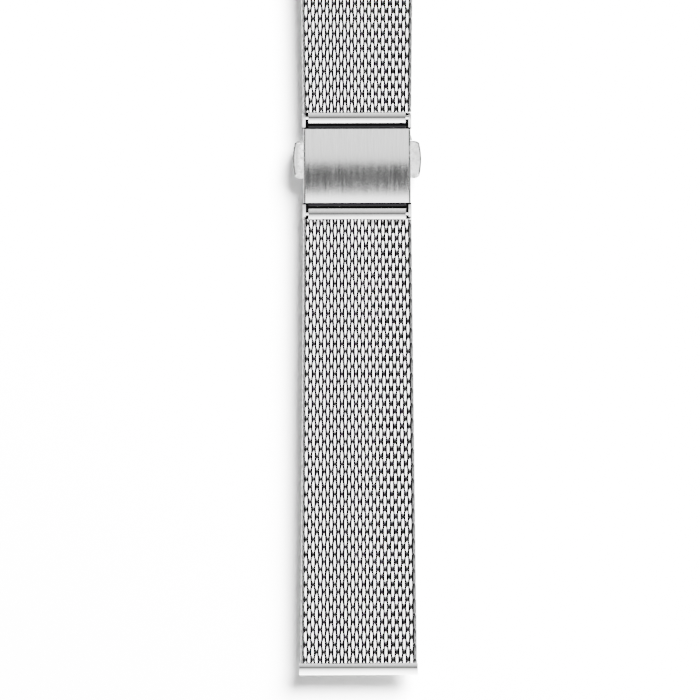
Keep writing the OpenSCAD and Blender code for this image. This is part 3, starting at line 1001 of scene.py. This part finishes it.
class MESHBAND_OT_buttons(bpy.types.Operator):
    """Makes the two push-buttons: a bulged head with a bevelled top, on the claw yoke"""

    bl_idname = "meshband.buttons"
    bl_label = "Push-buttons"

    def execute(self, context):
        clasp = context.scene.band_clasp
        for side, name in ((1, "right_button"), (-1, "left_button")):
            yoke = from_node(name, f"{name}_yoke")
            neck_x = side * (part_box("cover_plate")[1][0] - NECK_IN)
            cut(yoke, (neck_x, 0, 0), (side, 0, 0))
            head = self.head(name, side, clasp)
            soften(yoke, clasp.soft_edge * YOKE_EDGE, segments=1, angle=50)
            pick(yoke, head)
            bpy.ops.object.join()
            piece = bpy.context.object
            piece.name = piece.data.name = f"{name}_finished"
            outward(piece)
            shade(piece, 16)
            dress(piece, name, "polished_button")
        return {"FINISHED"}

    def head(self, name, side, clasp):
        """A button's head, made at the right and mirrored for the left"""
        low, high = (Vector(corner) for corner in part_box(name))
        cover_low, cover_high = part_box("cover_plate")
        half_l = clasp.button_l / 2
        mid_y = (cover_low[1] + cover_high[1]) / 2 + clasp.button_offset
        inner = cover_high[0] - HEAD_IN
        outer = max(abs(low.x), abs(high.x))
        top = high.z - clasp.button_crown
        rise = clasp.button_crown * TOP_RISE
        head = add_box(
            f"{name}_head", (inner, mid_y - half_l, low.z), (outer, mid_y + half_l, top)
        )
        for stage in range(1, BULGE_STAGES):
            score(head, mid_y - half_l + 2 * half_l * stage / BULGE_STAGES)
        for point in head.data.vertices:
            if point.co.x > outer - CLOSE:
                point.co.x -= clasp.button_bulge * ((point.co.y - mid_y) / half_l) ** 2

        def at_outer_corner(edge):
            ends = [head.data.vertices[i].co for i in edge.vertices]
            return all(
                abs(abs(end.y - mid_y) - half_l) < CLOSE and end.x > (inner + outer) / 2
                for end in ends
            )

        pick_elements(head, "EDGE", at_outer_corner)
        bpy.ops.mesh.bevel(offset=clasp.button_round, segments=8, affect="EDGES")
        bpy.ops.object.mode_set(mode="OBJECT")
        pick_elements(head, "FACE", lambda f: f.normal.z > 0.9)
        bpy.ops.mesh.dissolve_faces()
        bpy.ops.mesh.inset(thickness=clasp.button_ring, depth=rise)
        bpy.ops.object.mode_set(mode="OBJECT")
        lower_end = mid_y - half_l + clasp.button_step
        for point in head.data.vertices:
            if point.co.z > top + CLOSE:
                point.co.y = max(point.co.y, lower_end)
        crown = top + rise
        pick_elements(head, "FACE", lambda f: f.normal.z > 0.9 and f.center.z > crown - CLOSE)
        for depth in (-GROOVE_DEPTH, GROOVE_DEPTH):
            bpy.ops.mesh.inset(thickness=GROOVE_W, depth=depth)
        bpy.ops.object.mode_set(mode="OBJECT")
        if side < 0:
            head.scale.x = -1
            settle(head)
            outward(head)
        soften(head, clasp.soft_edge * HEAD_EDGE, segments=3, angle=85)
        # Marks the groove round the top for painted shade
        groove = head.data.attributes.new("groove", "FLOAT", "POINT")
        for point, note in zip(head.data.vertices, groove.data):
            note.value = abs(point.co.z - (crown - GROOVE_DEPTH)) < GROOVE_DARK
        return head


# The clasp's inside

# How far an arm's end plate is drawn out under the mesh's end and under the cover's edge
PLATE_OUT, PLATE_IN = 0.38 * MM, 0.22 * MM
PLATE_EDGE = 0.015 * MM  # what lies this near the plate's end is part of it

# Each spring, and what holds it from left to right
SPRINGS = (
    ("left_button_spring", "left_button", "catch_box"),
    ("right_button_spring", "catch_box", "right_button"),
    ("upper_bar_spring", "upper_bar_tip_left", "upper_bar_barrel", "upper_bar_tip_right"),
    ("lower_bar_spring", "lower_bar_tip_left", "lower_bar_barrel", "lower_bar_tip_right"),
)


class MESHBAND_OT_blades(bpy.types.Operator):
    """Finishes the stamped base plate, arms, catch plates and catch box"""

    bl_idname = "meshband.blades"
    bl_label = "Blades and box"

    def execute(self, context):
        width = context.scene.band_clasp.soft_edge
        for node, slot, finish in (
            ("base_plate", "satin_blade", "satin_blade"),
            ("upper_arm", "satin_blade", "satin_arm"),
            ("lower_arm", "satin_blade", "satin_arm"),
            ("upper_catch_plate", "dark_box", "dark_box"),
            ("lower_catch_plate", "dark_box", "dark_box"),
            ("catch_box", "dark_box", "dark_box"),
        ):
            blade = from_node(node, f"{node}_worn")
            if "arm" in node:
                self.lengthen_plate(blade, 1 if "upper" in node else -1)
            soften(blade, width * BLADE_EDGE, segments=2, angle=50)
            shade(blade, 35)
            dress(blade, node, slot, finish)
        return {"FINISHED"}

    def lengthen_plate(self, arm, side):
        """Draws the plate between an arm's ears out under the mesh's end and the cover's edge"""
        plate_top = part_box("upper_clasp_bar")[0][2]
        ears_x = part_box("upper_arm")[1][0] - CLOSE
        plate = [
            side * point.co.y
            for point in arm.data.vertices
            if abs(point.co.x) > ears_x and point.co.z < plate_top
        ]
        for end, move in ((max(plate), PLATE_OUT), (min(plate), -PLATE_IN)):
            pick_elements(
                arm,
                "VERT",
                lambda v: abs(side * v.co.y - end) < PLATE_EDGE and v.co.z < plate_top,
            )
            bpy.ops.transform.translate(value=(0, side * move, 0))
            bpy.ops.object.mode_set(mode="OBJECT")


class MESHBAND_OT_pins(bpy.types.Operator):
    """Gives the pins, rivets and spring bars their finish"""

    bl_idname = "meshband.pins"
    bl_label = "Pins and spring bars"

    def execute(self, context):
        for name, node in frame["nodes"].items():
            if any(part in name for part in ("pin", "rivet", "barrel", "tip")):
                paint(node, "turned_pin")
        return {"FINISHED"}


class MESHBAND_OT_springs(bpy.types.Operator):
    """Finishes the springs, cut into one part between each pair of what they press on"""

    bl_idname = "meshband.springs"
    bl_label = "Springs"

    def execute(self, context):
        for node, *holders in SPRINGS:
            low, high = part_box(node)
            middle = ((low[1] + high[1]) / 2, (low[2] + high[2]) / 2)
            parts = len(holders) - 1
            for part in range(parts):
                left = low[0] + (high[0] - low[0]) * part / parts
                right = low[0] + (high[0] - low[0]) * (part + 1) / parts
                spring = from_node(node, f"{node}_coil_{part + 1}")
                if part > 0:
                    cut(spring, (left, *middle), (-1, 0, 0))
                if part < parts - 1:
                    cut(spring, (right, *middle), (1, 0, 0))
                shade(spring, 50)
                paint(spring, "spring_wire")
                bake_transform(spring)
            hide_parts(node)
        return {"FINISHED"}


# The stage

FLOOR_GRAIN = (900, 900, 900)  # waves per metre
FLOOR_DIM = 0.985  # the floor's darkest grain, as a share of its tone

# Each panel overhead: where it begins and ends along the band, in metres, and its glow
PANEL_HEIGHT = 3.2
PANELS = (
    ("crown panel", -0.75, 0.35, 8.0),
    ("far panel", 0.35, 8.8, 2.3),
    ("near panel", -0.75, -2.2, 5.5),
    ("low near panel", -2.2, -8.8, 10.0),
    ("cover's far panel", 0.2, 8.8, 4.4),
    ("cover's near panel", -1.4, -8.8, 11.0),
)
CARD_OUT, CARD_HEIGHT = 5, 2.2  # the cards at both sides
ROOM_COLOUR, ROOM_GLOW = (0.75, 0.76, 0.78, 1), 0.15

CAMERA_X, CAMERA_Y = -1.295 * MM, -21.0 * MM
SENSOR_W = 36  # millimetres, as lenses are given


def softbox(name, place, aim, width, length, glow):
    """A flat lamp turned towards a point, as bright all over as its glow"""
    deselect()
    bpy.ops.object.light_add(type="AREA", location=place)
    lamp = bpy.context.object
    lamp.name = lamp.data.name = name
    lamp.data.shape = "RECTANGLE"
    lamp.data.size, lamp.data.size_y = width, length
    lamp.data.energy = glow * math.pi * width * length
    lamp.rotation_euler = (Vector(aim) - Vector(place)).to_track_quat("-Z", "Y").to_euler()
    return lamp


class MESHBAND_OT_stage(bpy.types.Operator):
    """Lays the pale floor, hangs the soft lights and sets the camera over the band"""

    bl_idname = "meshband.stage"
    bl_label = "Stage"

    def execute(self, context):
        stage = context.scene.band_stage
        self.lights(self.floor(stage))
        self.camera(stage)
        return {"FINISHED"}

    def floor(self, stage):
        deselect()
        bpy.ops.mesh.primitive_plane_add(size=3.0, location=(0, 0, 0))
        floor = named("floor")
        settle(floor)
        material = bpy.data.materials.new("pale card")
        material.use_nodes = True
        tree = material.node_tree
        place = tree.nodes.new("ShaderNodeTexCoord").outputs["Object"]
        shader = tree.nodes["Principled BSDF"]
        white = (stage.floor_tone,) * 3
        grain = noise(tree, place, FLOOR_GRAIN, detail=2.0)
        colour = blend_colours(tree, grain, white, dimmed(white, FLOOR_DIM))
        shader.inputs["Roughness"].default_value = 0.9
        shader.inputs["Specular IOR Level"].default_value = 0.1
        link(tree, (colour, shader.inputs["Base Color"]))
        floor.data.materials.append(material)
        return floor

    def lights(self, floor):
        """Hangs the panels for the band and for the cover, the side cards and the floor's lamps"""
        cover = bpy.context.scene.objects["cover"]
        for name, near, far, glow in PANELS:
            middle = (near + far) / 2
            panel = softbox(
                name,
                (0, middle, PANEL_HEIGHT),
                (0, middle, 0),
                width=2 * PANEL_HEIGHT,
                length=abs(far - near),
                glow=glow,
            )
            if name.startswith("cover"):
                self.aim_at(panel, [cover], "INCLUDE")
            else:
                self.aim_at(panel, [floor, cover], "EXCLUDE")
        for side, name in ((1, "right card"), (-1, "left card")):
            place, aim = (side * CARD_OUT, 0, CARD_HEIGHT), (0, 0, CARD_HEIGHT)
            card = softbox(name, place, aim, width=10, length=4, glow=0.5)
            self.aim_at(card, [floor], "EXCLUDE")
        for name, place, size, glow in (
            ("floor lamp", (0.54, 0.68, 1.0), 0.72, 288),
            ("floor fill", (0, 0, PANEL_HEIGHT), 8, 0.9),
        ):
            lamp = softbox(name, place, (0, 0, 0), size, size, glow)
            self.aim_at(lamp, [floor], "INCLUDE")
        world = bpy.data.worlds.new("pale room")
        bpy.context.scene.world = world
        world.use_nodes = True
        backdrop = world.node_tree.nodes["Background"]
        backdrop.inputs["Color"].default_value = ROOM_COLOUR
        backdrop.inputs["Strength"].default_value = ROOM_GLOW

    def aim_at(self, lamp, pieces, state):
        """Lets a lamp light only some pieces, or all but them"""
        chosen = bpy.data.collections.new(f"{lamp.name} {state.lower()}")
        for place, piece in enumerate(pieces):
            chosen.objects.link(piece)
            chosen.collection_objects[place].light_linking.link_state = state
        lamp.light_linking.receiver_collection = chosen

    def camera(self, stage):
        deselect()
        bpy.ops.object.camera_add(
            location=(CAMERA_X, CAMERA_Y, stage.distance), rotation=(0, 0, stage.camera_turn)
        )
        camera = bpy.context.object
        camera.name = "camera"
        camera.data.sensor_width = SENSOR_W
        band_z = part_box("lower_lug_bar")[1][2]
        camera.data.lens = SENSOR_W * (stage.distance - band_z) / stage.frame_w
        camera.data.clip_end = 10
        bpy.context.scene.camera = camera


class MESHBAND_PT_panel(bpy.types.Panel):
    """Lists the sizes, the colours and the pieces"""

    bl_idname = "MESHBAND_PT_panel"
    bl_label = "Mesh Band"
    bl_space_type = "VIEW_3D"
    bl_region_type = "UI"
    bl_category = "Mesh Band"

    def draw(self, context):
        layout = self.layout
        for group, settings in GROUPS.items():
            box = layout.box()
            for name in settings.__annotations__:
                box.prop(getattr(context.scene, group), name)
        for operator in OPERATORS:
            layout.operator(operator.bl_idname)


OPERATORS = (
    MESHBAND_OT_finishes,
    MESHBAND_OT_weave,
    MESHBAND_OT_cover,
    MESHBAND_OT_bars,
    MESHBAND_OT_buttons,
    MESHBAND_OT_blades,
    MESHBAND_OT_pins,
    MESHBAND_OT_springs,
    MESHBAND_OT_stage,
)


def register():
    for item in (*GROUPS.values(), *OPERATORS, MESHBAND_PT_panel):
        bpy.utils.register_class(item)
    for name, settings in GROUPS.items():
        setattr(bpy.types.Scene, name, bpy.props.PointerProperty(type=settings))


def unregister():
    for name in GROUPS:
        delattr(bpy.types.Scene, name)
    for item in (MESHBAND_PT_panel, *reversed(OPERATORS), *GROUPS.values()):
        bpy.utils.unregister_class(item)


def main():
    register()
    bpy.ops.meshband.finishes()
    bpy.ops.meshband.weave()
    bpy.ops.meshband.cover()
    bpy.ops.meshband.bars()
    bpy.ops.meshband.buttons()
    bpy.ops.meshband.blades()
    bpy.ops.meshband.pins()
    bpy.ops.meshband.springs()
    bpy.ops.meshband.stage()


if __name__ == "__main__":
    main()
